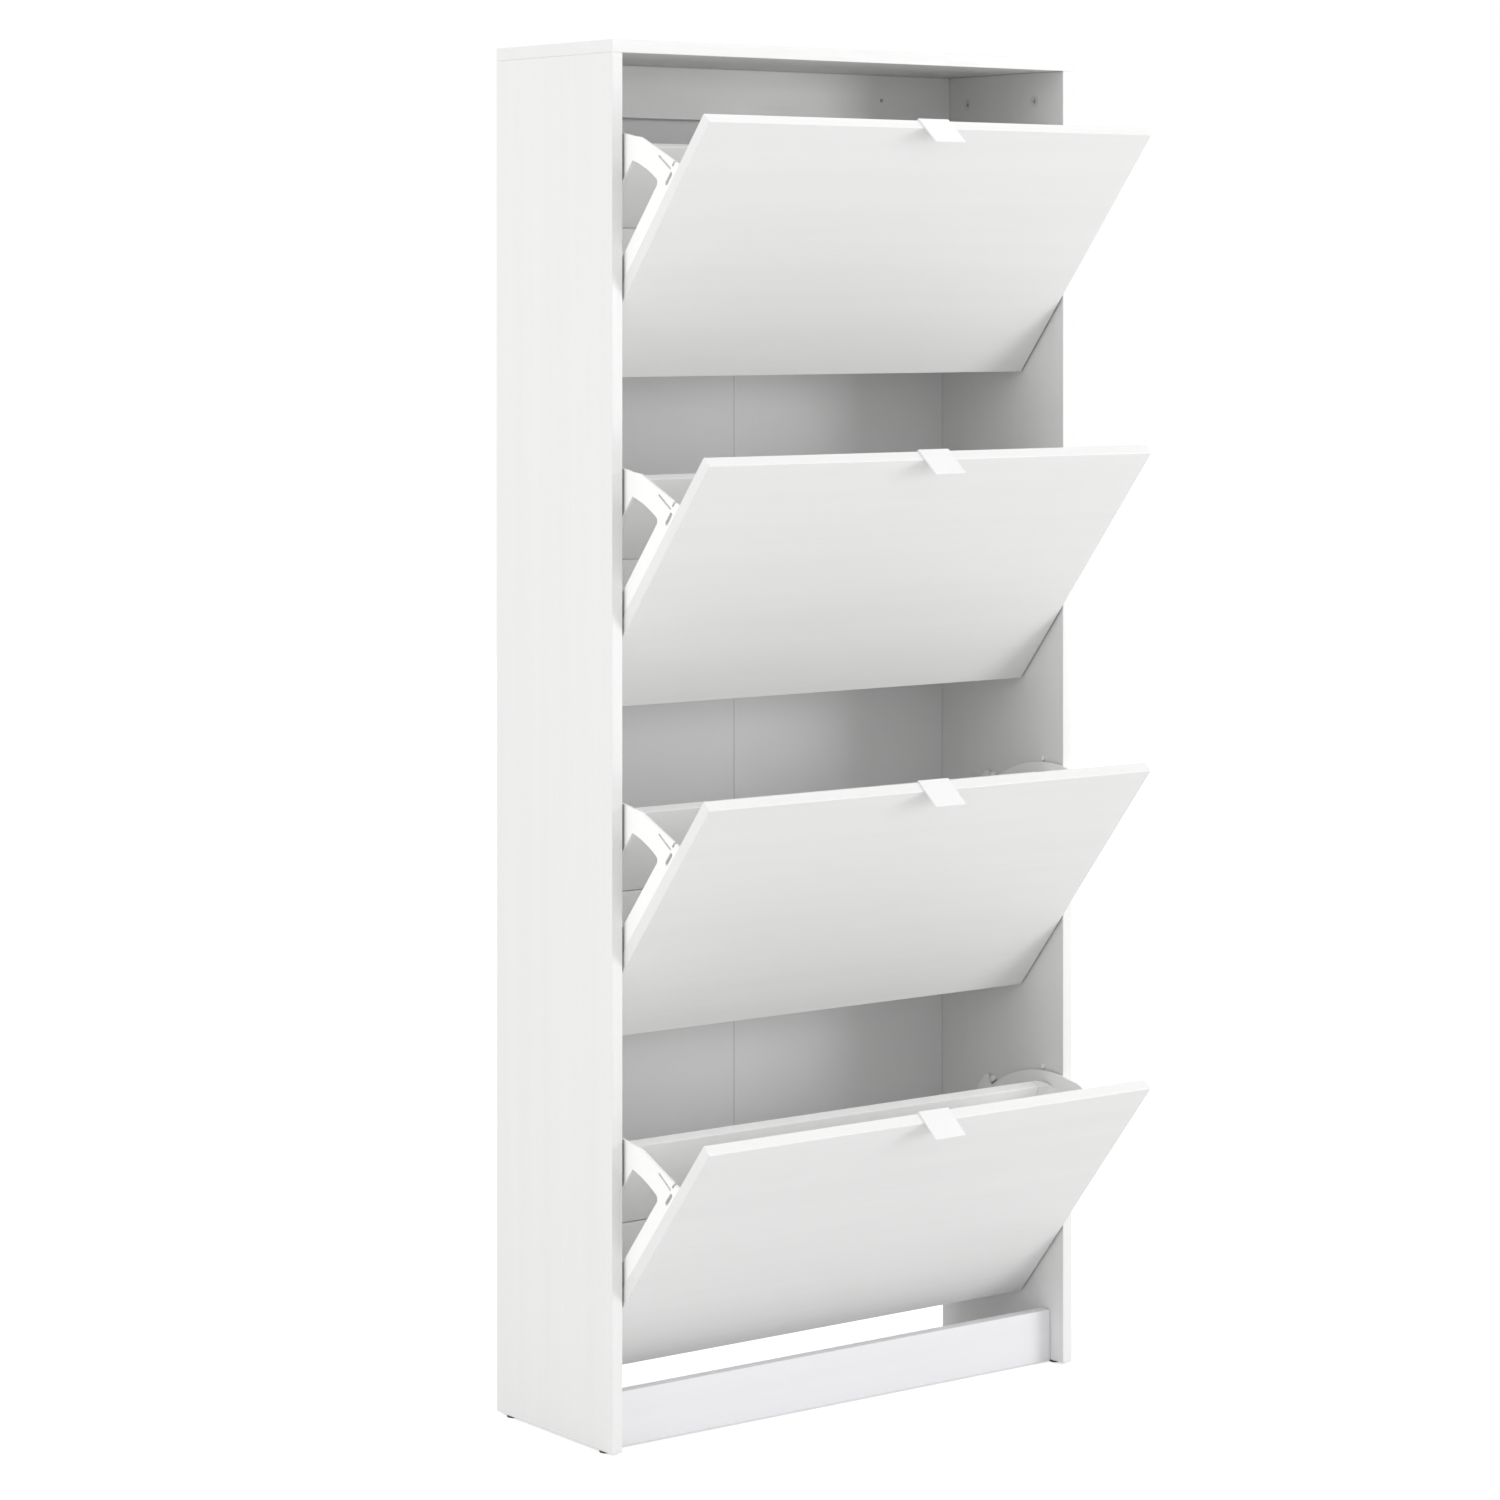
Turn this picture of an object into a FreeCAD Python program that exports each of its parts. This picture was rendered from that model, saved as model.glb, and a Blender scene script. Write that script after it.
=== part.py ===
import FreeCAD, Part
import math
import os

os.makedirs("parts", exist_ok=True)

# Tall shoe cabinet with four tilting flaps, modelled with every flap open on its stop.
# The front faces -Y, +X is to the right seen from the front, +Z is up. Millimetres and degrees.

# Carcass
WIDTH = 705.0
DEPTH = 240.0
HEIGHT = 1635.0
BOARD = 15.0
EASE = 0.5
GLIDE_HEIGHT = 3.0
GLIDE_RADIUS = 7.0
GLIDE_SETBACK = 24.0
RAIL_HEIGHT = 64.0
PLINTH_TOP = 66.0
PLINTH_BOTTOM = 2.0
PLINTH_SETBACK = 24.5
BACK_THICK = 3.0
BACK_REBATE = 4.0
BACK_LAP = 7.5
BACK_BOTTOM = 60.0
BACK_SEAM = 0.6
TAPE_WIDTH = 24.0
TAPE_THICK = 0.3
WALL_HOLE_X = 224.0
WALL_HOLE_RADIUS = 2.5

# Joining hardware
CAM_RADIUS = 7.4
CAM_DEPTH = 12.3
CAM_SETBACK = 36.0
CAM_FRONT = 55.0
CAM_REAR = 185.0
BOLT_RADIUS = 3.0
BOLT_THREAD = 11.0
DOWEL_RADIUS = 3.95
DOWEL_LENGTH = 30.0
FIT = 0.05
NAIL_RADIUS = 0.8
NAIL_HEAD = 2.2

# Flaps
FLAPS = 4
FLAP_PITCH = 387.5
FLAP_HEIGHT = 380.0
FLAP_GAP = 2.5
FLAP_FIRST = 71.0
OPEN_ANGLE = 39.8
PIVOT_UP = 112.0
PIVOT_IN = 26.0

# Handle, a bent sheet over the top edge
HANDLE_WIDTH = 45.0
HANDLE_THICK = 2.0
HANDLE_REACH = 26.5
HANDLE_LEG = 36.0
HANDLE_SCREW_X = 13.0

# Side fittings of a flap
PLATE_THICK = 3.0
PLATE_INSET = 0.5
STRIP_WIDTH = 19.0
STRIP_BOTTOM = 20.0
STRIP_TOP = 306.5
ARC_OUTER = 182.8
ARC_INNER = 155.3
ARC_END = 97.0
ARM_END = 26.5
ARM_STEP = (94.5, 284.0)
WINDOW_REAR = 90.0
SLIT = ((51.5, 289.9), (26.0, 292.4))
SLIT_WIDTH = 2.8
NOTCH = (22.6, 26.0, 296.8)
SLOT_WIDTH = 5.0
SLOT_LOW = 274.7
SLOT_HIGH = 288.2
RIB_MARGIN = 5.0
WINDOW_ROUND = 6.0
LOWER_RIB = 86.0
LOWER_RIB_TOP = 102.0
FLANGE_WIDTH = 20.0
FLANGE_THICK = 3.0
FITTING_SCREWS = (50.0, 165.0, 262.0)
PIN_RADIUS = 4.0
PIN_CLEARANCE = 0.06
BOSS_RADIUS = 8.5
BOSS_LENGTH = 7.0
TOOTH_START = 74.8
TOOTH_RADIUS = 200.0
PEG_RADIUS = 4.0
PEG_ORBIT = 189.3
PEG_CLEARANCE = 0.3
STUD_ORBIT = 186.5
STUD_ANGLE = 3.4
STUD_RADIUS = 3.0
STUD_PROUD = 2.0

# Tray boards: the back board leans on the line from (in, up) low to (in, up) high
BACK_BOARD = 15.0
FLOOR_BOARD = 12.0
TRAY_LOW = (89.0, 154.0)
TRAY_HIGH = (125.5, 246.6)
FLOOR_FRONT = (35.0, 99.0)
CORNER_RADIUS = 20.0
CORNER_HOLLOW = 12.0
TONGUE_LENGTH = 9.0
TONGUE_THICK = 4.0

# Derived values
HALF = WIDTH / 2.0
INSIDE = HALF - BOARD
SIDE_MID = HALF - BOARD / 2.0
TOP_UNDER = HEIGHT - BOARD
RAIL_BACK = DEPTH - BACK_REBATE
RAIL_FRONT = RAIL_BACK - BOARD
RAIL_BOTTOM = TOP_UNDER - RAIL_HEIGHT
RAIL_MID = RAIL_BACK - BOARD / 2.0
PLINTH_MID = PLINTH_SETBACK + BOARD / 2.0
FLAP_HALF = INSIDE - FLAP_GAP
PLATE_OUT = FLAP_HALF - PLATE_INSET
PLATE_IN = PLATE_OUT - PLATE_THICK


def vec(x, y, z):
    return FreeCAD.Vector(x, y, z)


def foremost_y():
    # Front lower corner of an open handle, the point farthest forward of all.
    turn = math.radians(OPEN_ANGLE)
    back = -HANDLE_REACH - PIVOT_IN
    up = FLAP_HEIGHT + HANDLE_THICK - PIVOT_UP
    return PIVOT_IN + back * math.cos(turn) - up * math.sin(turn)


# The frame's origin is under the middle of the whole object.
SHIFT_Y = -(foremost_y() + DEPTH) / 2.0


def box(x0, x1, y0, y1, z0, z1):
    return Part.makeBox(x1 - x0, y1 - y0, z1 - z0, vec(x0, y0, z0))


def rod(start, direction, radius, length):
    return Part.makeCylinder(radius, length, start, direction)


def eased(shape, size):
    return shape.makeChamfer(size, shape.Edges)


def cut_all(shape, tools):
    return shape.cut(Part.makeCompound(tools)) if tools else shape


def one_solid(shape):
    return shape.Solids[0] if len(shape.Solids) == 1 else shape


def mirrored(shape):
    return shape.mirror(vec(0, 0, 0), vec(1, 0, 0))


def both_sides(shapes):
    return list(shapes) + [mirrored(s) for s in shapes]


def slab(points, x0, x1):
    # Prism along X from a profile of (in, up) points.
    corners = [vec(x0, p[0], p[1]) for p in points]
    face = Part.Face(Part.makePolygon(corners + corners[:1]))
    return face.extrude(vec(x1 - x0, 0, 0))


def flap_base(index):
    # Height of the closed bottom edge of a flap, counted from 1 at the top.
    return FLAP_FIRST + (FLAPS - index) * FLAP_PITCH


def pivot_height(index):
    return flap_base(index) + PIVOT_UP


def opened(shape, index):
    # Lift a piece made for a flap standing at zero, then tip it open about its pivot.
    moved = shape.copy()
    moved.translate(vec(0, 0, flap_base(index)))
    moved.rotate(vec(0, PIVOT_IN, pivot_height(index)), vec(1, 0, 0), OPEN_ANGLE)
    return moved


def export(shape, name):
    moved = shape.copy()
    moved.translate(vec(0, SHIFT_Y, 0))
    moved.exportStep("parts/" + name + ".step")


# Joining hardware -------------------------------------------------------------

def local_frame(origin, along, into):
    turn = FreeCAD.Rotation(along, into.cross(along), into, "ZXY")
    return FreeCAD.Placement(origin, turn)


def cam_lock():
    # Disc with a cross recess in its face and a pocket for the bolt's head.
    disc = Part.makeCylinder(CAM_RADIUS, CAM_DEPTH)
    pocket = box(-2.5, CAM_RADIUS + 1, -3.6, 3.6, 3.9, 11.1)
    bar = box(-3.2, 3.2, -0.7, 0.7, -1, 1.8)
    cross = box(-0.7, 0.7, -3.2, 3.2, -1, 1.8)
    return cut_all(disc, [pocket, bar, cross])


def cam_bolt(reach):
    # Along local X: round head in the lock, thin neck, shank and threaded end.
    x_axis = vec(1, 0, 0)
    depth = BOARD / 2.0
    head = rod(vec(-1.5, 0, depth), x_axis, BOLT_RADIUS, 3.0)
    neck = rod(vec(1.5, 0, depth), x_axis, 1.8, 4.0)
    shank = rod(vec(5.5, 0, depth), x_axis, BOLT_RADIUS, reach - 5.5)
    thread = rod(vec(reach, 0, depth), x_axis, BOLT_RADIUS - 0.4, BOLT_THREAD)
    return one_solid(head.fuse([neck, shank, thread]).removeSplitter())


def cam_hole(reach):
    # Pocket for the lock and the bolt's long hole, both cut from the locked board.
    pocket = Part.makeCylinder(CAM_RADIUS + FIT, CAM_DEPTH + 0.2)
    bolt = rod(vec(0, 0, BOARD / 2.0), vec(1, 0, 0), BOLT_RADIUS + FIT, reach + 1)
    return pocket.fuse(bolt)


def bolt_hole(reach):
    start = vec(reach - 1, 0, BOARD / 2.0)
    return rod(start, vec(1, 0, 0), BOLT_RADIUS - 0.4 + FIT, BOLT_THREAD + 1.5)


def cam_sites():
    # Right-hand locks as (name, origin on the face, bolt direction, way into the board, reach).
    up = vec(0, 0, 1)
    right = vec(1, 0, 0)
    front = vec(0, -1, 0)
    cam_z = TOP_UNDER - CAM_SETBACK
    x_cam = INSIDE - CAM_SETBACK
    return [
        ("side", vec(INSIDE, CAM_FRONT, cam_z), up, right, CAM_SETBACK),
        ("side", vec(INSIDE, CAM_REAR, cam_z), up, right, CAM_SETBACK),
        ("rail", vec(x_cam, RAIL_BACK, RAIL_BOTTOM + 44), right, front, CAM_SETBACK),
        ("plinth", vec(x_cam, PLINTH_SETBACK + BOARD, 46), right, front, CAM_SETBACK),
    ]


def placed(shape, site):
    moved = shape.copy()
    moved.Placement = local_frame(site[1], site[2], site[3])
    return moved


def dowel_sites():
    # Right-hand dowels as (start, direction).
    up = vec(0, 0, 1)
    right = vec(1, 0, 0)
    start_z = TOP_UNDER - DOWEL_LENGTH + 10.5
    start_x = INSIDE - DOWEL_LENGTH + 10.5
    return [
        (vec(SIDE_MID, 28, start_z), up),
        (vec(SIDE_MID, 214, start_z), up),
        (vec(start_x, RAIL_MID, RAIL_BOTTOM + 18), right),
        (vec(start_x, PLINTH_MID, 20), right),
    ]


def dowel(site):
    body = rod(site[0], site[1], DOWEL_RADIUS, DOWEL_LENGTH)
    return body.makeChamfer(0.6, [body.Edges[0], body.Edges[2]])


def dowel_hole(site):
    start = site[0] - site[1] * 0.6
    return rod(start, site[1], DOWEL_RADIUS + FIT, DOWEL_LENGTH + 1.2)


def glide_sites():
    return [vec(SIDE_MID, GLIDE_SETBACK, 0), vec(SIDE_MID, DEPTH - GLIDE_SETBACK, 0)]


def nail_sites():
    # Right-hand nails of the back as (x, z).
    edge = [(INSIDE + BACK_LAP / 2.0, BACK_BOTTOM + 15 + 170.0 * i) for i in range(9)]
    top = [(x, TOP_UNDER + 4.0) for x in (70.0, 190.0, 310.0)]
    rail = [(x, RAIL_BOTTOM + 14) for x in (45.0, 160.0)]
    return edge + top + rail


def nail(x, z):
    # The head stands on the sheet and the shank runs forward.
    face = DEPTH - BACK_REBATE + BACK_THICK
    head = rod(vec(x, face, z), vec(0, 1, 0), NAIL_HEAD, 0.7)
    shank = rod(vec(x, face + 0.2, z), vec(0, -1, 0), NAIL_RADIUS, BACK_THICK + 13)
    return one_solid(head.fuse(shank).removeSplitter())


def nail_hole(x, z):
    start = vec(x, DEPTH + 1, z)
    return rod(start, vec(0, -1, 0), NAIL_RADIUS + 0.03, BACK_REBATE + 15)


# Pins on the sides --------------------------------------------------------------

def orbit_point(index, radius, angle):
    # Point around a pivot, with the angle taken from straight up towards the back.
    turn = math.radians(angle)
    y = PIVOT_IN + radius * math.sin(turn)
    z = pivot_height(index) + radius * math.cos(turn)
    return y, z


def peg_angle():
    half = math.degrees(math.asin((PEG_RADIUS + PEG_CLEARANCE) / PEG_ORBIT))
    return TOOTH_START - OPEN_ANGLE - half


def pivot_pin(index):
    y = PIVOT_IN
    z = pivot_height(index)
    inner = PLATE_IN - BOSS_LENGTH - 1.0
    pin = rod(vec(inner, y, z), vec(1, 0, 0), PIN_RADIUS, INSIDE + 10 - inner)
    pin = pin.makeChamfer(0.6, [pin.Edges[0], pin.Edges[2]])
    collar = rod(vec(PLATE_OUT + 0.5, y, z), vec(1, 0, 0), 6.5, INSIDE - PLATE_OUT - 0.5)
    return one_solid(pin.fuse(collar).removeSplitter())


def stop_peg(index):
    y, z = orbit_point(index, PEG_ORBIT, peg_angle())
    inner = PLATE_IN - 0.5
    peg = rod(vec(inner, y, z), vec(1, 0, 0), PEG_RADIUS, INSIDE + 10 - inner)
    return peg.makeChamfer(0.8, [peg.Edges[0], peg.Edges[2]])


def side_stud(index):
    y, z = orbit_point(index, STUD_ORBIT, STUD_ANGLE)
    stem = rod(vec(INSIDE, y, z), vec(1, 0, 0), 1.5, 9.0)
    head = rod(vec(INSIDE - STUD_PROUD, y, z), vec(1, 0, 0), STUD_RADIUS, STUD_PROUD)
    head = head.makeFillet(0.9, [e for e in head.Edges if e.BoundBox.XMax < INSIDE - STUD_PROUD + 0.1])
    return one_solid(head.fuse(stem).removeSplitter())


def pin_holes(index):
    right = vec(1, 0, 0)
    x0 = INSIDE - 1
    peg = orbit_point(index, PEG_ORBIT, peg_angle())
    stud = orbit_point(index, STUD_ORBIT, STUD_ANGLE)
    return [
        rod(vec(x0, PIVOT_IN, pivot_height(index)), right, PIN_RADIUS + 0.02, 11.5),
        rod(vec(x0, peg[0], peg[1]), right, PEG_RADIUS + 0.02, 11.5),
        rod(vec(x0, stud[0], stud[1]), right, 1.52, 10.5),
    ]


# Carcass pieces -------------------------------------------------------------------

def side_panel():
    panel = eased(box(INSIDE, HALF, 0, DEPTH, GLIDE_HEIGHT, TOP_UNDER), EASE)
    tools = [box(INSIDE - 1, INSIDE + BACK_LAP, RAIL_BACK, DEPTH + 1, 0, HEIGHT)]
    for index in range(1, FLAPS + 1):
        tools += pin_holes(index)
    for site in cam_sites():
        hole = cam_hole(site[4]) if site[0] == "side" else bolt_hole(site[4])
        tools.append(placed(hole, site))
    tools += [dowel_hole(site) for site in dowel_sites()]
    tools += [rod(g, vec(0, 0, 1), 1.02, GLIDE_HEIGHT + 13) for g in glide_sites()]
    tools += [nail_hole(x, z) for x, z in nail_sites() if x > INSIDE]
    return one_solid(cut_all(panel, tools))


def top_panel():
    panel = eased(box(-HALF, HALF, 0, DEPTH, TOP_UNDER, HEIGHT), EASE)
    lap = INSIDE + BACK_LAP
    tools = [box(-lap, lap, RAIL_BACK, DEPTH + 1, TOP_UNDER - 1, TOP_UNDER + 8)]
    holes = [placed(bolt_hole(s[4]), s) for s in cam_sites() if s[0] == "side"]
    holes += [dowel_hole(site) for site in dowel_sites()[:2]]
    holes += [nail_hole(x, z) for x, z in nail_sites() if z > TOP_UNDER]
    return one_solid(cut_all(panel, tools + both_sides(holes)))


def cross_board(y0, z0, z1, kind, dowel_index):
    board = eased(box(-INSIDE, INSIDE, y0, y0 + BOARD, z0, z1), EASE)
    holes = [placed(cam_hole(s[4]), s) for s in cam_sites() if s[0] == kind]
    holes.append(dowel_hole(dowel_sites()[dowel_index]))
    return cut_all(board, both_sides(holes))


def wall_holes():
    start = vec(WALL_HOLE_X, DEPTH + 1, RAIL_BOTTOM + RAIL_HEIGHT / 2.0)
    return both_sides([rod(start, vec(0, -1, 0), WALL_HOLE_RADIUS, 25)])


def back_rail():
    rail = cross_board(RAIL_FRONT, RAIL_BOTTOM, TOP_UNDER, "rail", 2)
    nails = [nail_hole(x, z) for x, z in nail_sites() if x < INSIDE and z < TOP_UNDER]
    return one_solid(cut_all(rail, wall_holes() + both_sides(nails)))


def plinth_board():
    return one_solid(cross_board(PLINTH_SETBACK, PLINTH_BOTTOM, PLINTH_TOP, "plinth", 3))


def back_panel():
    edge = INSIDE + BACK_LAP - 0.3
    rear = RAIL_BACK + BACK_THICK
    sheet = box(BACK_SEAM / 2.0, edge, RAIL_BACK, rear, BACK_BOTTOM, TOP_UNDER + 7.7)
    tools = [nail_hole(x, z) for x, z in nail_sites()]
    return one_solid(cut_all(sheet, tools + wall_holes()))


def back_tape():
    face = RAIL_BACK + BACK_THICK
    half = TAPE_WIDTH / 2.0
    return box(-half, half, face, face + TAPE_THICK, BACK_BOTTOM + 2, TOP_UNDER + 5)


def glide(point):
    disc = rod(point, vec(0, 0, 1), GLIDE_RADIUS, GLIDE_HEIGHT)
    disc = disc.makeFillet(0.8, [e for e in disc.Edges if e.BoundBox.ZMax < 0.1])
    spike = rod(point + vec(0, 0, 1), vec(0, 0, 1), 1.0, GLIDE_HEIGHT + 11)
    return one_solid(disc.fuse(spike).removeSplitter())


# Flap pieces, made with the flap standing closed at height zero ---------------------

def screw(x, up):
    # Pan-head screw driven forward into the flap front.
    head_base = BOARD + FLANGE_THICK
    head = rod(vec(x, head_base, up), vec(0, 1, 0), 3.2, 1.8)
    head = head.makeFillet(0.8, [e for e in head.Edges if e.BoundBox.YMin > head_base + 1.7])
    slot = box(x - 2.0, x + 2.0, head_base + 0.9, head_base + 3, up - 0.45, up + 0.45)
    cross = box(x - 0.45, x + 0.45, head_base + 0.9, head_base + 3, up - 2.0, up + 2.0)
    shank = rod(vec(x, head_base + 0.2, up), vec(0, -1, 0), 1.6, FLANGE_THICK + 11.2)
    return one_solid(cut_all(head.fuse(shank).removeSplitter(), [slot, cross]))


def screw_hole(x, up, radius, y0, y1):
    return rod(vec(x, y0, up), vec(0, 1, 0), radius, y1 - y0)


def fitting_screw_x():
    return PLATE_IN - FLANGE_WIDTH / 2.0


def handle_screw_up():
    return FLAP_HEIGHT - HANDLE_LEG / 2.0 - 4.0


def flap_front():
    panel = eased(box(-FLAP_HALF, FLAP_HALF, 0, BOARD, 0, FLAP_HEIGHT), EASE)
    holes = [screw_hole(fitting_screw_x(), up, 1.62, 3.0, BOARD + 1) for up in FITTING_SCREWS]
    holes.append(screw_hole(HANDLE_SCREW_X, handle_screw_up(), 1.62, 3.0, BOARD + 1))
    return one_solid(cut_all(panel, both_sides(holes)))


def flap_handle():
    half = HANDLE_WIDTH / 2.0
    rear = BOARD + HANDLE_THICK
    top = FLAP_HEIGHT + HANDLE_THICK
    foot = FLAP_HEIGHT - HANDLE_LEG
    sheet = box(-half, half, -HANDLE_REACH, rear, FLAP_HEIGHT, top)
    leg = box(-half, half, BOARD, rear, foot, FLAP_HEIGHT)
    bent = sheet.fuse(leg).removeSplitter()
    backs = [e for e in bent.Edges if e.BoundBox.YMin > rear - 0.01]
    bent = bent.makeFillet(1.6, [e for e in backs if e.BoundBox.ZMin > top - 0.01])
    fronts = [e for e in bent.Edges if e.BoundBox.YMax < -HANDLE_REACH + 0.01]
    bent = bent.makeFillet(0.5, [e for e in fronts if e.Length > half])
    pad = box(-half, half, rear, BOARD + FLANGE_THICK, foot, foot + 28)
    bent = bent.fuse(pad).removeSplitter()
    holes = [screw_hole(HANDLE_SCREW_X, handle_screw_up(), 1.8, BOARD - 1, BOARD + 5)]
    return one_solid(cut_all(bent, both_sides(holes)))


def polar(radius, angle):
    turn = math.radians(angle)
    return PIVOT_IN + radius * math.sin(turn), PIVOT_UP + radius * math.cos(turn)


def at_plate(point):
    return vec(PLATE_IN, point[0], point[1])


def arc_edge(radius, start, end):
    points = [at_plate(polar(radius, a)) for a in (start, (start + end) / 2.0, end)]
    return Part.Arc(*points).toShape()


def line_edge(a, b):
    return Part.makeLine(at_plate(a), at_plate(b))


def web_from(edges):
    wire = Part.Wire(Part.__sortEdges__(edges))
    return Part.Face(wire).extrude(vec(PLATE_THICK, 0, 0))


def unit(a, b):
    length = math.hypot(b[0] - a[0], b[1] - a[1])
    return (b[0] - a[0]) / length, (b[1] - a[1]) / length


def moved_by(point, way, distance):
    return point[0] + way[0] * distance, point[1] + way[1] * distance


def crossing(a, way_a, b, way_b):
    det = way_a[0] * -way_b[1] + way_b[0] * way_a[1]
    t = ((b[0] - a[0]) * -way_b[1] + way_b[0] * (b[1] - a[1])) / det
    return moved_by(a, way_a, t)


def on_arc(point, way, radius):
    # Where a line meets a circle around the pivot, going forward along the line.
    dx = point[0] - PIVOT_IN
    dz = point[1] - PIVOT_UP
    b = dx * way[0] + dz * way[1]
    c = dx * dx + dz * dz - radius * radius
    return moved_by(point, way, -b + math.sqrt(b * b - c))


def angle_of(point):
    return math.degrees(math.atan2(point[0] - PIVOT_IN, point[1] - PIVOT_UP))


# Directions along the tray's back and floor, and the ways out of the tray behind them.
BACK_WAY = unit(TRAY_LOW, TRAY_HIGH)
BACK_OUT = (BACK_WAY[1], -BACK_WAY[0])
FLOOR_WAY = unit(TRAY_LOW, FLOOR_FRONT)
FLOOR_OUT = (-FLOOR_WAY[1], FLOOR_WAY[0])


def outer_outline():
    step_low = polar(ARC_OUTER, ARM_END)
    step_high = ARM_STEP
    end = polar(ARC_OUTER, ARC_END)
    corners = [
        (BOARD + STRIP_WIDTH, STRIP_BOTTOM + 6),
        (BOARD + STRIP_WIDTH - 6, STRIP_BOTTOM),
        (BOARD, STRIP_BOTTOM),
        (BOARD, STRIP_TOP),
        step_high,
        step_low,
    ]
    edges = [line_edge(a, b) for a, b in zip(corners, corners[1:])]
    edges.append(arc_edge(ARC_OUTER, ARM_END, ARC_END))
    heel = (BOARD + STRIP_WIDTH + 18, LOWER_RIB)
    edges.append(line_edge(end, (end[0] - 6, LOWER_RIB)))
    edges.append(line_edge((end[0] - 6, LOWER_RIB), heel))
    edges.append(line_edge(heel, (BOARD + STRIP_WIDTH, LOWER_RIB - 18)))
    edges.append(line_edge((BOARD + STRIP_WIDTH, LOWER_RIB - 18), corners[0]))
    return edges


def tray_window():
    inner = BOARD + STRIP_WIDTH
    floor = moved_by(TRAY_LOW, FLOOR_OUT, -RIB_MARGIN)
    low = crossing(floor, FLOOR_WAY, (inner, 0), (0, 1))
    corner = crossing(floor, FLOOR_WAY, (WINDOW_REAR, 0), (0, 1))
    front_angle = math.degrees(math.asin((inner - PIVOT_IN) / ARC_INNER))
    rear_angle = math.degrees(math.asin((WINDOW_REAR - PIVOT_IN) / ARC_INNER))
    front_top = polar(ARC_INNER, front_angle)
    rear_top = polar(ARC_INNER, rear_angle)
    return [
        line_edge(low, front_top),
        arc_edge(ARC_INNER, front_angle, rear_angle),
        line_edge(rear_top, corner),
        line_edge(corner, low),
    ], [low, front_top, corner]


def rear_window():
    back = moved_by(TRAY_LOW, BACK_OUT, BACK_BOARD + RIB_MARGIN)
    floor = moved_by(TRAY_LOW, FLOOR_OUT, FLOOR_BOARD + RIB_MARGIN)
    top = on_arc(back, BACK_WAY, ARC_INNER)
    corner = crossing(back, BACK_WAY, floor, FLOOR_WAY)
    low = crossing(floor, FLOOR_WAY, (0, LOWER_RIB_TOP), (1, 0))
    end_angle = 90.0 + math.degrees(math.asin((PIVOT_UP - LOWER_RIB_TOP) / ARC_INNER))
    end = polar(ARC_INNER, end_angle)
    return [
        arc_edge(ARC_INNER, angle_of(top), end_angle),
        line_edge(end, low),
        line_edge(low, corner),
        line_edge(corner, top),
    ], [top, end, low, corner]


def round_corners(shape, corners, radius):
    chosen = []
    for edge in shape.Edges:
        box_ = edge.BoundBox
        if box_.YLength > 0.01 or box_.ZLength > 0.01:
            continue
        if any(math.hypot(box_.YMin - c[0], box_.ZMin - c[1]) < 0.05 for c in corners):
            chosen.append(edge)
    return shape.makeFillet(radius, chosen)


def tooth():
    points = [polar(r, a) for r, a in (
        (176.0, TOOTH_START),
        (TOOTH_RADIUS - 2.0, TOOTH_START),
        (TOOTH_RADIUS, TOOTH_START + 1.0),
        (TOOTH_RADIUS - 1.5, TOOTH_START + 3.3),
        (TOOTH_RADIUS - 3.5, TOOTH_START + 7.0),
        (TOOTH_RADIUS - 8.5, TOOTH_START + 10.5),
        (181.0, TOOTH_START + 13.5),
        (176.0, TOOTH_START + 13.5),
    )]
    return slab(points, PLATE_IN, PLATE_OUT)


def web_slots():
    # Slit across the arm, notch in its top edge and the long slot beside the door.
    x0 = PLATE_IN - 1
    x1 = PLATE_OUT + 1
    right = vec(1, 0, 0)
    root, tip = SLIT
    along = unit(root, tip)
    across = (-along[1], along[0])
    half = SLIT_WIDTH / 2.0
    offsets = ((root, half), (root, -half), (tip, -half), (tip, half))
    tools = [slab([moved_by(p, across, d) for p, d in offsets], x0, x1)]
    tools += [rod(vec(x0, p[0], p[1]), right, half, x1 - x0) for p in SLIT]
    tools.append(box(x0, x1, NOTCH[0], NOTCH[1], NOTCH[2], STRIP_TOP + 1))
    near = BOARD + FLANGE_THICK + 0.1
    middle = near + SLOT_WIDTH / 2.0
    tools.append(box(x0, x1, near, near + SLOT_WIDTH, SLOT_LOW, SLOT_HIGH))
    tools += [rod(vec(x0, middle, z), right, SLOT_WIDTH / 2.0, x1 - x0) for z in (SLOT_LOW, SLOT_HIGH)]
    return tools


def arc_point(centre, radius):
    # Middle of a quarter arc, on the diagonal.
    return (centre[0] + radius * math.sqrt(0.5), centre[1] + radius * math.sqrt(0.5))


def corner_section(front, rear):
    # Plan of the corner: flush with both faces of the board, hollow in front, round behind.
    hollow = (CORNER_RADIUS - CORNER_HOLLOW, front - CORNER_HOLLOW)
    into = CORNER_RADIUS + 0.5
    path = [
        ((0, rear), None, (0, front)),
        ((0, front), None, (hollow[0], front)),
        ((hollow[0], front), arc_point(hollow, CORNER_HOLLOW), (CORNER_RADIUS, hollow[1])),
        ((CORNER_RADIUS, hollow[1]), None, (into, hollow[1])),
        ((into, hollow[1]), None, (into, 0)),
        ((into, 0), None, (CORNER_RADIUS, 0)),
        ((CORNER_RADIUS, 0), arc_point((0, 0), CORNER_RADIUS), (0, rear)),
    ]
    edges = []
    for start, middle, end in path:
        points = [vec(x, y, 0) for x, y in (start, middle or start, end)]
        if middle:
            edges.append(Part.Arc(*points).toShape())
        else:
            edges.append(Part.LineSegment(points[0], points[2]).toShape())
    return Part.Face(Part.Wire(edges))


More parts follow.
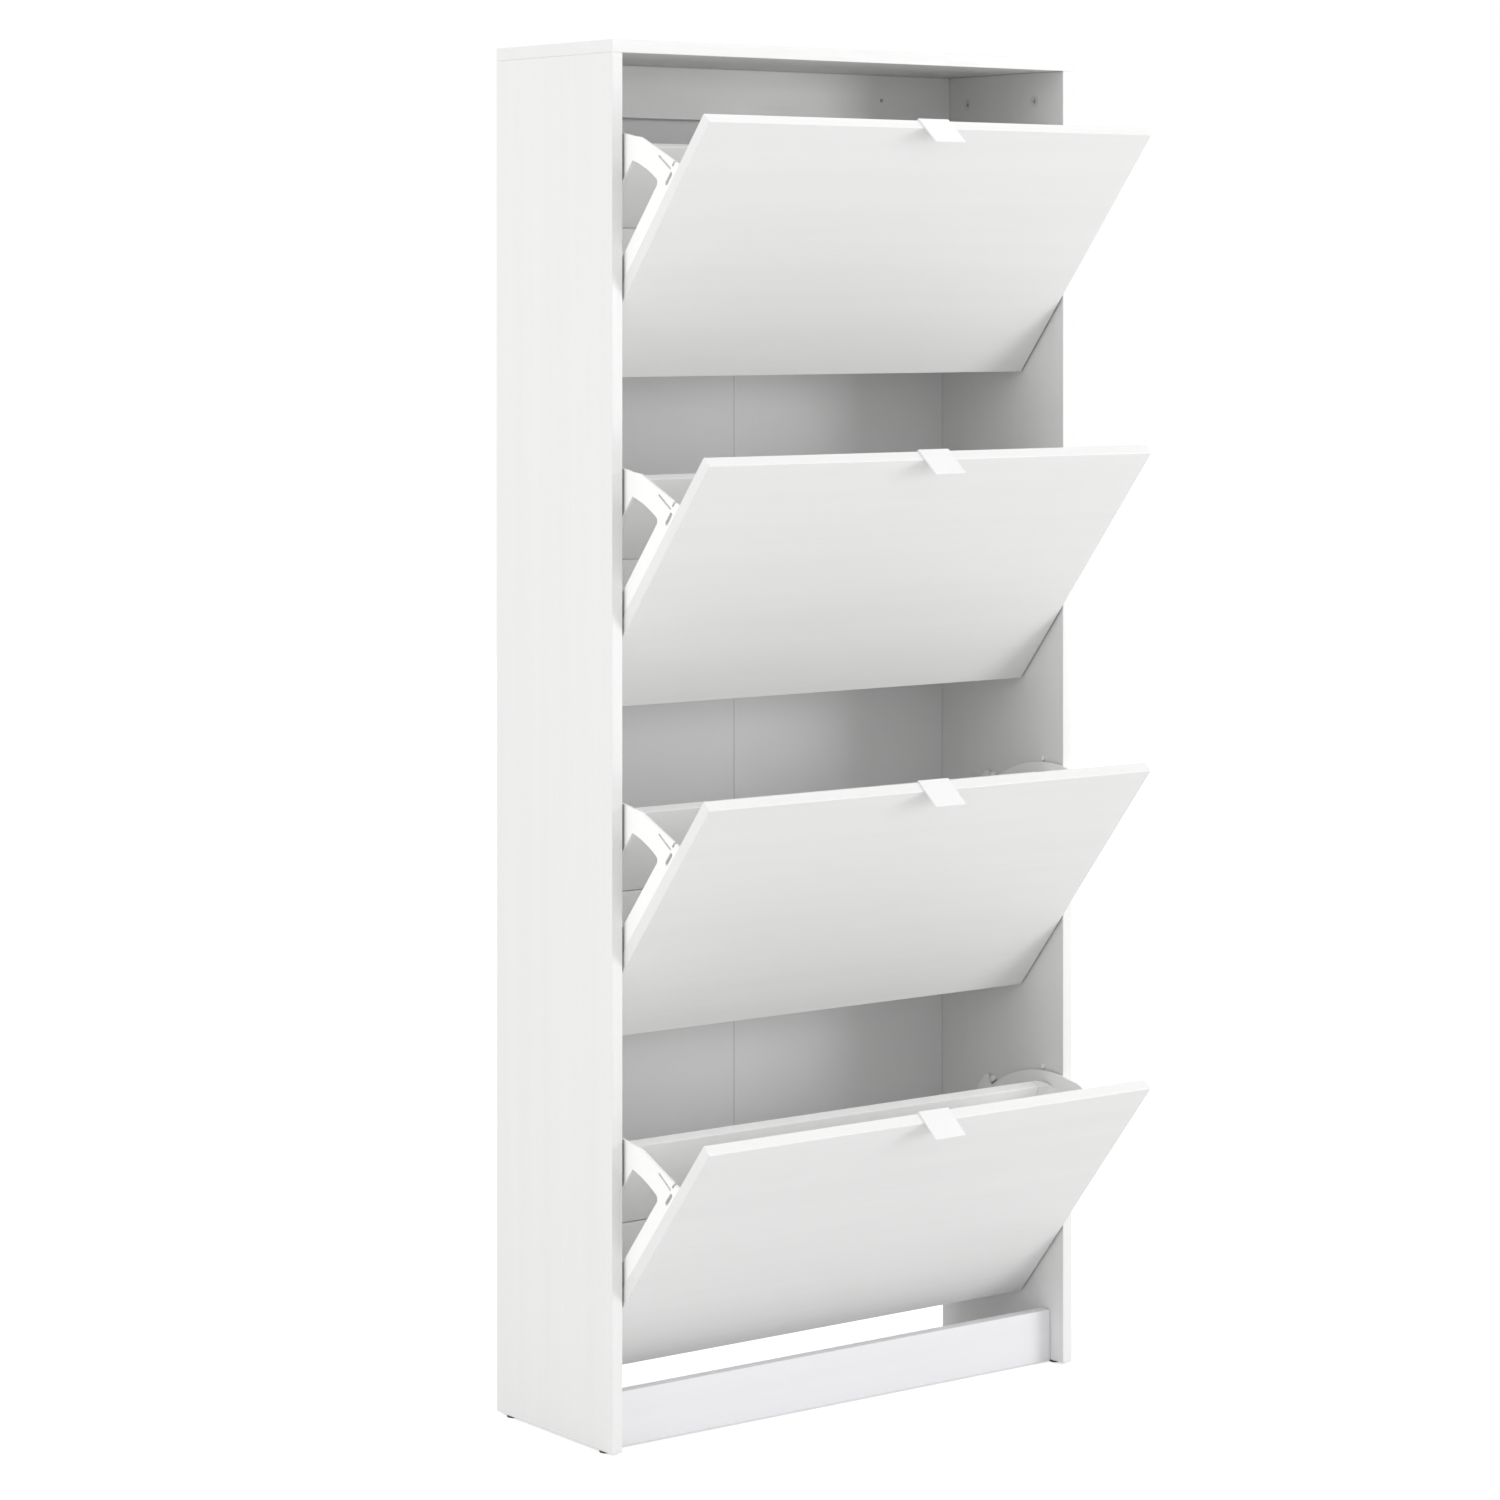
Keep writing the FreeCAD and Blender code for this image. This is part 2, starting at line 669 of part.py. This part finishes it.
def corner_cove():
    # Rounded corner between the plate and the back board, as tall as the board, with a tongue.
    centre_x = PLATE_IN - CORNER_RADIUS
    low = moved_by(TRAY_LOW, BACK_WAY, 0.3)
    length = math.hypot(TRAY_HIGH[0] - low[0], TRAY_HIGH[1] - low[1])
    section = corner_section(CORNER_RADIUS - BACK_BOARD, CORNER_RADIUS)
    corner = section.extrude(vec(0, 0, length))
    mid = CORNER_RADIUS - BACK_BOARD / 2.0
    tongue = box(-TONGUE_LENGTH, 2, mid - TONGUE_THICK / 2.0, mid + TONGUE_THICK / 2.0, 8, length - 14)
    cove = corner.fuse([tongue]).removeSplitter()
    out = vec(0, BACK_OUT[0], BACK_OUT[1])
    along = vec(0, BACK_WAY[0], BACK_WAY[1])
    base = vec(centre_x, low[0], low[1]) + out * (BACK_BOARD - CORNER_RADIUS)
    cove.Placement = FreeCAD.Placement(base, FreeCAD.Rotation(vec(1, 0, 0), out, along, "ZXY"))
    return cove


def floor_profile(margin, thick, front):
    # Profile of the tray's floor, its top face lying a margin inside the tray.
    end = moved_by(TRAY_LOW, FLOOR_WAY, 0.3)
    high = moved_by(end, FLOOR_OUT, -margin)
    low_in = crossing(high, FLOOR_WAY, (front, 0), (0, 1))
    under = moved_by(high, FLOOR_OUT, thick)
    low_out = crossing(under, FLOOR_WAY, (front, 0), (0, 1))
    return [high, low_in, low_out, under]


def floor_ledges():
    # Thin ledges above and below the end of the floor board.
    x0 = PLATE_IN - 8.0
    x1 = PLATE_IN + 0.5
    front = BOARD + FLANGE_THICK + 4.0
    upper = slab(floor_profile(2.3, 2.2, front + 16), x0, x1)
    lower = slab(floor_profile(-FLOOR_BOARD - 0.1, 2.2, front + 24), x0, x1)
    return [upper, lower]


def right_fitting():
    web = web_from(outer_outline())
    for edges, corners in (tray_window(), rear_window()):
        cutter = web_from(edges)
        cutter = round_corners(cutter, corners, WINDOW_ROUND)
        web = web.cut(cutter)
    flange_x = PLATE_IN - FLANGE_WIDTH
    flange = box(flange_x, PLATE_IN + 0.5, BOARD, BOARD + FLANGE_THICK, STRIP_BOTTOM + 4, 298)
    boss_start = vec(PLATE_IN - BOSS_LENGTH, PIVOT_IN, PIVOT_UP)
    boss = rod(boss_start, vec(1, 0, 0), BOSS_RADIUS, BOSS_LENGTH + 1)
    body = web.fuse([flange, boss, tooth(), corner_cove()] + floor_ledges()).removeSplitter()
    bore_start = vec(PLATE_IN - 20, PIVOT_IN, PIVOT_UP)
    bore = rod(bore_start, vec(1, 0, 0), PIN_RADIUS + PIN_CLEARANCE, 40)
    holes = [screw_hole(fitting_screw_x(), up, 1.8, BOARD - 1, BOARD + 5) for up in FITTING_SCREWS]
    return one_solid(cut_all(body, web_slots() + [bore] + holes))


def back_board():
    # Leaning back of the tray, grooved at both ends for the tongues of the corners.
    half = PLATE_IN - CORNER_RADIUS
    low = moved_by(TRAY_LOW, BACK_WAY, 0.3)
    length = math.hypot(TRAY_HIGH[0] - low[0], TRAY_HIGH[1] - low[1])

    def spot(along, out):
        return moved_by(moved_by(low, BACK_WAY, along), BACK_OUT, out)

    outline = [low, TRAY_HIGH, spot(length, BACK_BOARD), spot(0, BACK_BOARD)]
    board = eased(slab(outline, -half, half), EASE)
    near = BACK_BOARD / 2.0 - TONGUE_THICK / 2.0 - 0.1
    far = BACK_BOARD / 2.0 + TONGUE_THICK / 2.0 + 0.1
    last = length - 13
    groove = [spot(7, near), spot(last, near), spot(last, far), spot(7, far)]
    slot = slab(groove, half - TONGUE_LENGTH - 0.5, half + 1)
    return one_solid(cut_all(board, both_sides([slot])))


def floor_board():
    front = BOARD + FLANGE_THICK + 0.3
    half = PLATE_IN - 0.2
    return eased(slab(floor_profile(0.0, FLOOR_BOARD, front), -half, half), EASE)


def flap_pieces():
    fitting = right_fitting()
    screws = [screw(fitting_screw_x(), up) for up in FITTING_SCREWS]
    return {
        "front": flap_front(),
        "handle": flap_handle(),
        "handle_screws": Part.makeCompound(both_sides([screw(HANDLE_SCREW_X, handle_screw_up())])),
        "fitting_right": fitting,
        "fitting_left": mirrored(fitting),
        "fitting_screws": Part.makeCompound(both_sides(screws)),
        "back_board": back_board(),
        "floor_board": floor_board(),
    }


def carcass_pieces():
    right_side = side_panel()
    right_back = back_panel()
    numbers = range(1, FLAPS + 1)
    locks = [placed(cam_lock(), s) for s in cam_sites()]
    bolts = [placed(cam_bolt(s[4]), s) for s in cam_sites()]
    return {
        "side_panel_right": right_side,
        "side_panel_left": mirrored(right_side),
        "top_panel": top_panel(),
        "back_rail": back_rail(),
        "plinth_board": plinth_board(),
        "back_panel_right": right_back,
        "back_panel_left": mirrored(right_back),
        "back_panel_tape": back_tape(),
        "glide_feet": Part.makeCompound(both_sides([glide(p) for p in glide_sites()])),
        "cam_locks": Part.makeCompound(both_sides(locks)),
        "cam_bolts": Part.makeCompound(both_sides(bolts)),
        "wood_dowels": Part.makeCompound(both_sides([dowel(s) for s in dowel_sites()])),
        "back_nails": Part.makeCompound(both_sides([nail(x, z) for x, z in nail_sites()])),
        "pivot_pins": Part.makeCompound(both_sides([pivot_pin(i) for i in numbers])),
        "stop_pegs": Part.makeCompound(both_sides([stop_peg(i) for i in numbers])),
        "side_studs": Part.makeCompound(both_sides([side_stud(i) for i in numbers])),
    }


for name, shape in carcass_pieces().items():
    export(shape, name)

pieces = flap_pieces()
for number in range(1, FLAPS + 1):
    for name, shape in pieces.items():
        export(opened(shape, number), "flap_%d_%s" % (number, name))
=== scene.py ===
import math
import bpy
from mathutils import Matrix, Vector

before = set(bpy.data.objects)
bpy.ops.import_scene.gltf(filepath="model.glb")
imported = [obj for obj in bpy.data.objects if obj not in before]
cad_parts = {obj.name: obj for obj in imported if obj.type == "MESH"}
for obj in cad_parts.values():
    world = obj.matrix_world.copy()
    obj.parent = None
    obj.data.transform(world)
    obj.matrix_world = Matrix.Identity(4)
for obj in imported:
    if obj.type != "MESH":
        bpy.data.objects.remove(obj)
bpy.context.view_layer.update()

# ---------------------------------------------------------------- materials

WORN, FLAT = 0.80, 0.995  # agreement of the rounded normal with the true one, at an edge and on a face
CLOSED, OPEN = 0.15, 0.70  # share of open sky in a tight gap and past it, for the painted shade

# reach of the wear along an edge, in metres
BOARD_EDGE = 0.0009
MOULDED_EDGE = 0.0008
COATED_EDGE = 0.0006
METAL_EDGE = 0.0005

# base colours, linear
WHITE = (0.795, 0.795, 0.79)
# painted light: the back rail's white is the carcass laminate made lighter, so the rail shows brighter
RAIL_LIT_WHITE = (0.86, 0.86, 0.855)
PLINTH_WHITE = (0.80, 0.80, 0.82)
FLAP_WHITE = (0.79, 0.79, 0.785)
# painted light: the trays' white is the same laminate made lighter, to brighten the tray insides that
# lie in shade
TRAY_LIT_WHITE = (0.95, 0.95, 0.945)
MOULDED_WHITE = (0.93, 0.93, 0.915)
COAT_WHITE = (0.81, 0.81, 0.81)
PAINT_WHITE = (0.785, 0.785, 0.785)
TAPE_WHITE = (0.84, 0.84, 0.83)
GLIDE_GREY = (0.10, 0.10, 0.10)
ZINC_DULL, ZINC_BRIGHT = (0.46, 0.47, 0.48), (0.62, 0.63, 0.66)
ALLOY_DULL, ALLOY_BRIGHT = (0.70, 0.70, 0.70), (0.78, 0.78, 0.78)
BEECH_DARK, BEECH_PALE = (0.50, 0.34, 0.19), (0.68, 0.50, 0.31)

# reach of the painted shade in narrow gaps and tight corners, in metres, and the share of the colour
# left in it
BOARD_GAP_SHADE = (0.004, 0.62)
TRAY_GAP_SHADE = (0.014, 0.55)
MOULDED_GAP_SHADE = (0.012, 0.50)
METAL_GAP_SHADE = (0.003, 0.45)
PAINT_GAP_SHADE = (0.006, 0.60)


class Nodes:
    """Short hand for building one node material."""

    def __init__(self, name):
        self.mat = bpy.data.materials.new(name)
        self.mat.use_nodes = True
        self.tree = self.mat.node_tree
        self.bsdf = self.tree.nodes["Principled BSDF"]
        self.coords = self.add("ShaderNodeTexCoord").outputs["Object"]

    def add(self, kind, **settings):
        node = self.tree.nodes.new(kind)
        for key, value in settings.items():
            setattr(node, key, value)
        return node

    def link(self, a, b):
        self.tree.links.new(a, b)

    def scaled(self, scale):
        node = self.add("ShaderNodeMapping")
        node.inputs["Scale"].default_value = scale
        self.link(self.coords, node.inputs["Vector"])
        return node.outputs["Vector"]

    def noise(self, scale, detail, rough, stretch=(1, 1, 1)):
        node = self.add("ShaderNodeTexNoise")
        node.inputs["Scale"].default_value = scale
        node.inputs["Detail"].default_value = detail
        node.inputs["Roughness"].default_value = rough
        self.link(self.scaled(stretch), node.inputs["Vector"])
        return node.outputs["Fac"]

    def ramp(self, source, low, high, start, end):
        """Turns start to end of the source into low to high."""
        node = self.add("ShaderNodeMapRange")
        node.inputs["From Min"].default_value = start
        node.inputs["From Max"].default_value = end
        node.inputs["To Min"].default_value = low
        node.inputs["To Max"].default_value = high
        self.link(source, node.inputs["Value"])
        return node.outputs["Result"]

    def mix(self, factor, a, b):
        """Blend two colours or sockets: a where the factor is 0, b where it is 1."""
        node = self.add("ShaderNodeMix", data_type="RGBA")
        self.link(factor, node.inputs["Factor"])
        for socket, value in ((node.inputs[6], a), (node.inputs[7], b)):
            if isinstance(value, bpy.types.NodeSocket):
                self.link(value, socket)
            else:
                socket.default_value = (*value, 1.0)
        return node.outputs[2]

    def edge_wear(self, radius):
        """High along convex edges, within the radius."""
        bevel = self.add("ShaderNodeBevel", samples=4)
        bevel.inputs["Radius"].default_value = radius
        geometry = self.add("ShaderNodeNewGeometry")
        dot = self.add("ShaderNodeVectorMath", operation="DOT_PRODUCT")
        self.link(bevel.outputs["Normal"], dot.inputs[0])
        self.link(geometry.outputs["Normal"], dot.inputs[1])
        return self.ramp(dot.outputs["Value"], 1.0, 0.0, WORN, FLAT)

    def painted_gap_shade(self, base, reach, depth):
        """Base colour with painted shade: darker inside narrow gaps and tight corners, where the
        ambient occlusion finds little open sky.
        """
        gap = self.add("ShaderNodeAmbientOcclusion", samples=6)
        gap.inputs["Distance"].default_value = reach
        dark = self.add("ShaderNodeMix", data_type="RGBA", blend_type="MULTIPLY")
        dark.inputs["Factor"].default_value = 1.0
        self.link(base, dark.inputs[6])
        self.link(self.ramp(gap.outputs["AO"], depth, 1.0, CLOSED, OPEN), dark.inputs[7])
        return dark.outputs[2]

    def bump(self, height, distance, strength):
        node = self.add("ShaderNodeBump")
        node.inputs["Distance"].default_value = distance
        node.inputs["Strength"].default_value = strength
        self.link(height, node.inputs["Height"])
        self.link(node.outputs["Normal"], self.bsdf.inputs["Normal"])

    def set(self, **values):
        for key, value in values.items():
            self.bsdf.inputs[key.replace("_", " ")].default_value = value


def laminate(name, tone, grain_axis, gloss=0.38, gap_shade=BOARD_GAP_SHADE):
    """White melamine: pressed streaks along one axis, soft sheen, edge banding, painted shade in gaps
    and corners.
    """
    m = Nodes(name)
    fine = [230.0, 230.0, 230.0]
    broad = [34.0, 34.0, 34.0]
    fine[grain_axis] = 7.0
    broad[grain_axis] = 0.9
    grain = m.noise(1.0, 5.0, 0.62, fine)
    streak = m.noise(1.0, 3.0, 0.5, broad)
    base = m.mix(m.ramp(streak, 0.0, 1.0, 0.3, 0.7), [c * 0.975 for c in tone], tone)
    pores = m.ramp(grain, 0.0, 0.40, 0.52, 0.75)
    base = m.mix(pores, base, [c * 0.95 for c in tone])
    base = m.mix(m.edge_wear(BOARD_EDGE), base, [c * 0.93 for c in tone])
    base = m.painted_gap_shade(base, *gap_shade)
    m.link(base, m.bsdf.inputs["Base Color"])
    m.link(m.ramp(grain, gloss - 0.05, gloss + 0.10, 0.3, 0.7), m.bsdf.inputs["Roughness"])
    m.bump(grain, 0.00010, 0.5)
    m.set(IOR=1.48)
    return m.mat


def plastic(name, tone, gloss=0.42, rubbed=1.03):
    """Moulded plastic: very fine grain, slight flow variation, rubbed edges, painted shade in gaps and
    corners.
    """
    m = Nodes(name)
    pebble = m.noise(2600.0, 2.0, 0.5)
    flow = m.noise(14.0, 3.0, 0.5)
    base = m.mix(m.ramp(flow, 0.0, 1.0, 0.35, 0.65), [c * 0.98 for c in tone], tone)
    base = m.mix(m.edge_wear(MOULDED_EDGE), base, [min(1.0, c * rubbed) for c in tone])
    base = m.painted_gap_shade(base, *MOULDED_GAP_SHADE)
    m.link(base, m.bsdf.inputs["Base Color"])
    m.link(m.ramp(pebble, gloss - 0.06, gloss + 0.10, 0.3, 0.7), m.bsdf.inputs["Roughness"])
    m.bump(pebble, 0.00006, 0.6)
    m.set(IOR=1.49)
    return m.mat


def powder_coat(name, tone):
    """Powder-coated sheet: orange peel and thin coat on the edges."""
    m = Nodes(name)
    peel = m.noise(900.0, 2.0, 0.45)
    cloud = m.noise(20.0, 2.0, 0.5)
    base = m.mix(m.ramp(cloud, 0.0, 1.0, 0.3, 0.7), [c * 0.985 for c in tone], tone)
    base = m.mix(m.edge_wear(COATED_EDGE), base, [min(1.0, c * 1.02) for c in tone])
    m.link(base, m.bsdf.inputs["Base Color"])
    m.link(m.ramp(peel, 0.28, 0.42, 0.3, 0.7), m.bsdf.inputs["Roughness"])
    m.bump(peel, 0.00008, 0.5)
    m.set(IOR=1.5)
    return m.mat


def zinc(name, dull, bright, metallic):
    """Plated metal with faint turning lines, dull patches and painted shade in recesses."""
    m = Nodes(name)
    lines = m.noise(1.0, 3.0, 0.6, (900.0, 900.0, 4000.0))
    cloud = m.noise(120.0, 3.0, 0.5)
    base = m.mix(m.ramp(cloud, 0.0, 1.0, 0.35, 0.65), dull, bright)
    base = m.mix(m.edge_wear(METAL_EDGE), base, [min(1.0, c * 1.15) for c in bright])
    base = m.painted_gap_shade(base, *METAL_GAP_SHADE)
    m.link(base, m.bsdf.inputs["Base Color"])
    m.link(m.ramp(lines, 0.24, 0.46, 0.3, 0.7), m.bsdf.inputs["Roughness"])
    m.bump(lines, 0.00004, 0.4)
    m.set(Metallic=metallic)
    return m.mat


def beech(name):
    """Pale hardwood with short grain flecks."""
    m = Nodes(name)
    grain = m.noise(1.0, 6.0, 0.6, (900.0, 900.0, 60.0))
    base = m.mix(m.ramp(grain, 0.0, 1.0, 0.35, 0.65), BEECH_DARK, BEECH_PALE)
    m.link(base, m.bsdf.inputs["Base Color"])
    m.link(m.ramp(grain, 0.5, 0.7, 0.3, 0.7), m.bsdf.inputs["Roughness"])
    m.bump(grain, 0.0001, 0.5)
    return m.mat


def hardboard(name, tone):
    """Thin painted board: eggshell paint over fine felt texture, painted shade in gaps and corners."""
    m = Nodes(name)
    felt = m.noise(520.0, 4.0, 0.6)
    cloud = m.noise(5.0, 3.0, 0.5)
    base = m.mix(m.ramp(cloud, 0.0, 1.0, 0.3, 0.7), [c * 0.98 for c in tone], tone)
    base = m.mix(m.ramp(felt, 0.0, 0.25, 0.5, 0.75), base, [c * 0.95 for c in tone])
    base = m.painted_gap_shade(base, *PAINT_GAP_SHADE)
    m.link(base, m.bsdf.inputs["Base Color"])
    m.link(m.ramp(felt, 0.48, 0.62, 0.3, 0.7), m.bsdf.inputs["Roughness"])
    m.bump(felt, 0.00012, 0.5)
    return m.mat


along_x = laminate("laminate_along_x", WHITE, 0)
along_z = laminate("laminate_along_z", WHITE, 2)
rail_white = laminate("laminate_rail", RAIL_LIT_WHITE, 0)
plinth_white = laminate("laminate_plinth", PLINTH_WHITE, 0)
flap_white = laminate("laminate_flap", FLAP_WHITE, 0)
tray_white = laminate("laminate_tray", TRAY_LIT_WHITE, 0, gap_shade=TRAY_GAP_SHADE)
moulded = plastic("moulded_white", MOULDED_WHITE)
coated = powder_coat("white_powder_coat", COAT_WHITE)
metal = zinc("zinc_plated", ZINC_DULL, ZINC_BRIGHT, 1.0)
pale_metal = zinc("pale_zinc_alloy", ALLOY_DULL, ALLOY_BRIGHT, 0.25)
wood = beech("beech_dowel")
sheet = hardboard("painted_back", PAINT_WHITE)
tape = hardboard("paper_tape", TAPE_WHITE)
foot = plastic("grey_glide", GLIDE_GREY, gloss=0.5, rubbed=1.3)

finish = {
    "side_panel": along_z,
    "top_panel": along_x,
    "back_rail": rail_white,
    "plinth_board": plinth_white,
    "back_panel_tape": tape,
    "back_panel": sheet,
    "glide_feet": foot,
    "cam_locks": pale_metal,
    "cam_bolts": metal,
    "back_nails": metal,
    "wood_dowels": wood,
    "pivot_pins": moulded,
    "stop_pegs": moulded,
    "side_studs": moulded,
    "handle_screws": metal,
    "fitting_screws": metal,
    "handle": coated,
    "fitting_": moulded,
    "front": flap_white,
    "back_board": tray_white,
    "floor_board": tray_white,
}

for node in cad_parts:
    material = next(m for key, m in finish.items() if key in node)
    obj = bpy.data.objects[node]
    obj.data.materials.clear()
    obj.data.materials.append(material)

# ---------------------------------------------------------------- stage and light

FLOOR_HALF = 9.0
FLOOR_TONE = 0.78
FLOOR_GLOW = 0.60  # added for the camera only, so the floor shows white
SKY_LIGHT = 0.94  # strength of the white surroundings as a light
SKY_SEEN = 1.0  # and as the background
MIDDLE = (0.0, 0.0, 0.8)  # what the lamps point at

floor_mesh = bpy.data.meshes.new("floor")
corners = [(x * FLOOR_HALF, y * FLOOR_HALF, 0) for x, y in ((-1, -1), (1, -1), (1, 1), (-1, 1))]
floor_mesh.from_pydata(corners, [], [(0, 1, 2, 3)])
floor = bpy.data.objects.new("floor", floor_mesh)
bpy.context.scene.collection.objects.link(floor)
floor_mat = bpy.data.materials.new("pale_floor")
floor_mat.use_nodes = True
floor_tree = floor_mat.node_tree
floor_bsdf = floor_tree.nodes["Principled BSDF"]
floor_bsdf.inputs["Base Color"].default_value = (FLOOR_TONE, FLOOR_TONE, FLOOR_TONE, 1)
floor_bsdf.inputs["Roughness"].default_value = 0.9
floor_bsdf.inputs["Specular IOR Level"].default_value = 0.0
floor_bsdf.inputs["Emission Color"].default_value = (1, 1, 1, 1)
path = floor_tree.nodes.new("ShaderNodeLightPath")
glow = floor_tree.nodes.new("ShaderNodeMath")
glow.operation = "MULTIPLY"
glow.inputs[1].default_value = FLOOR_GLOW
floor_tree.links.new(path.outputs["Is Camera Ray"], glow.inputs[0])
floor_tree.links.new(glow.outputs[0], floor_bsdf.inputs["Emission Strength"])
floor_mesh.materials.append(floor_mat)

world = bpy.data.worlds.new("studio")
bpy.context.scene.world = world
world.use_nodes = True
world_tree = world.node_tree
background = world_tree.nodes["Background"]
background.inputs["Color"].default_value = (1, 1, 1, 1)
ray = world_tree.nodes.new("ShaderNodeLightPath")
sky = world_tree.nodes.new("ShaderNodeMapRange")
sky.inputs["To Min"].default_value = SKY_LIGHT
sky.inputs["To Max"].default_value = SKY_SEEN
world_tree.links.new(ray.outputs["Is Camera Ray"], sky.inputs["Value"])
world_tree.links.new(sky.outputs["Result"], background.inputs["Strength"])


def square_light(name, position, size, power):
    """A square lamp of the given side in metres and power in watts, turned to the middle."""
    data = bpy.data.lights.new(name, "AREA")
    data.shape = "RECTANGLE"
    data.size = size
    data.size_y = size
    data.energy = power
    lamp = bpy.data.objects.new(name, data)
    bpy.context.scene.collection.objects.link(lamp)
    lamp.location = position
    lamp.rotation_euler = (Vector(MIDDLE) - Vector(position)).to_track_quat("-Z", "Y").to_euler()


square_light("front_right", (4.5, -4.5, 1.2), 2.8, 148)
square_light("left", (-3.6, -0.4, 1.6), 2.0, 24)
square_light("top", (0.0, -0.6, 4.2), 2.0, 15)

# ---------------------------------------------------------------- camera

# The camera is level, stands front left of the object, and has a lens shifted down.
TURN = math.radians(37.037)
PLACE = (-3.15075, -3.99897, 1.34147)
SENSOR = 36.0
LENS = 101.14
SHIFT = -0.30425

camera_data = bpy.data.cameras.new("camera")
camera = bpy.data.objects.new("camera", camera_data)
bpy.context.scene.collection.objects.link(camera)
bpy.context.scene.camera = camera
camera_data.sensor_width = SENSOR
camera_data.lens = LENS
camera_data.shift_y = SHIFT
camera.location = PLACE
camera.rotation_euler = (math.pi / 2, 0, -TURN)

view = bpy.context.scene.view_settings
view.view_transform = "Standard"
view.look = "None"
view.exposure = 0.0
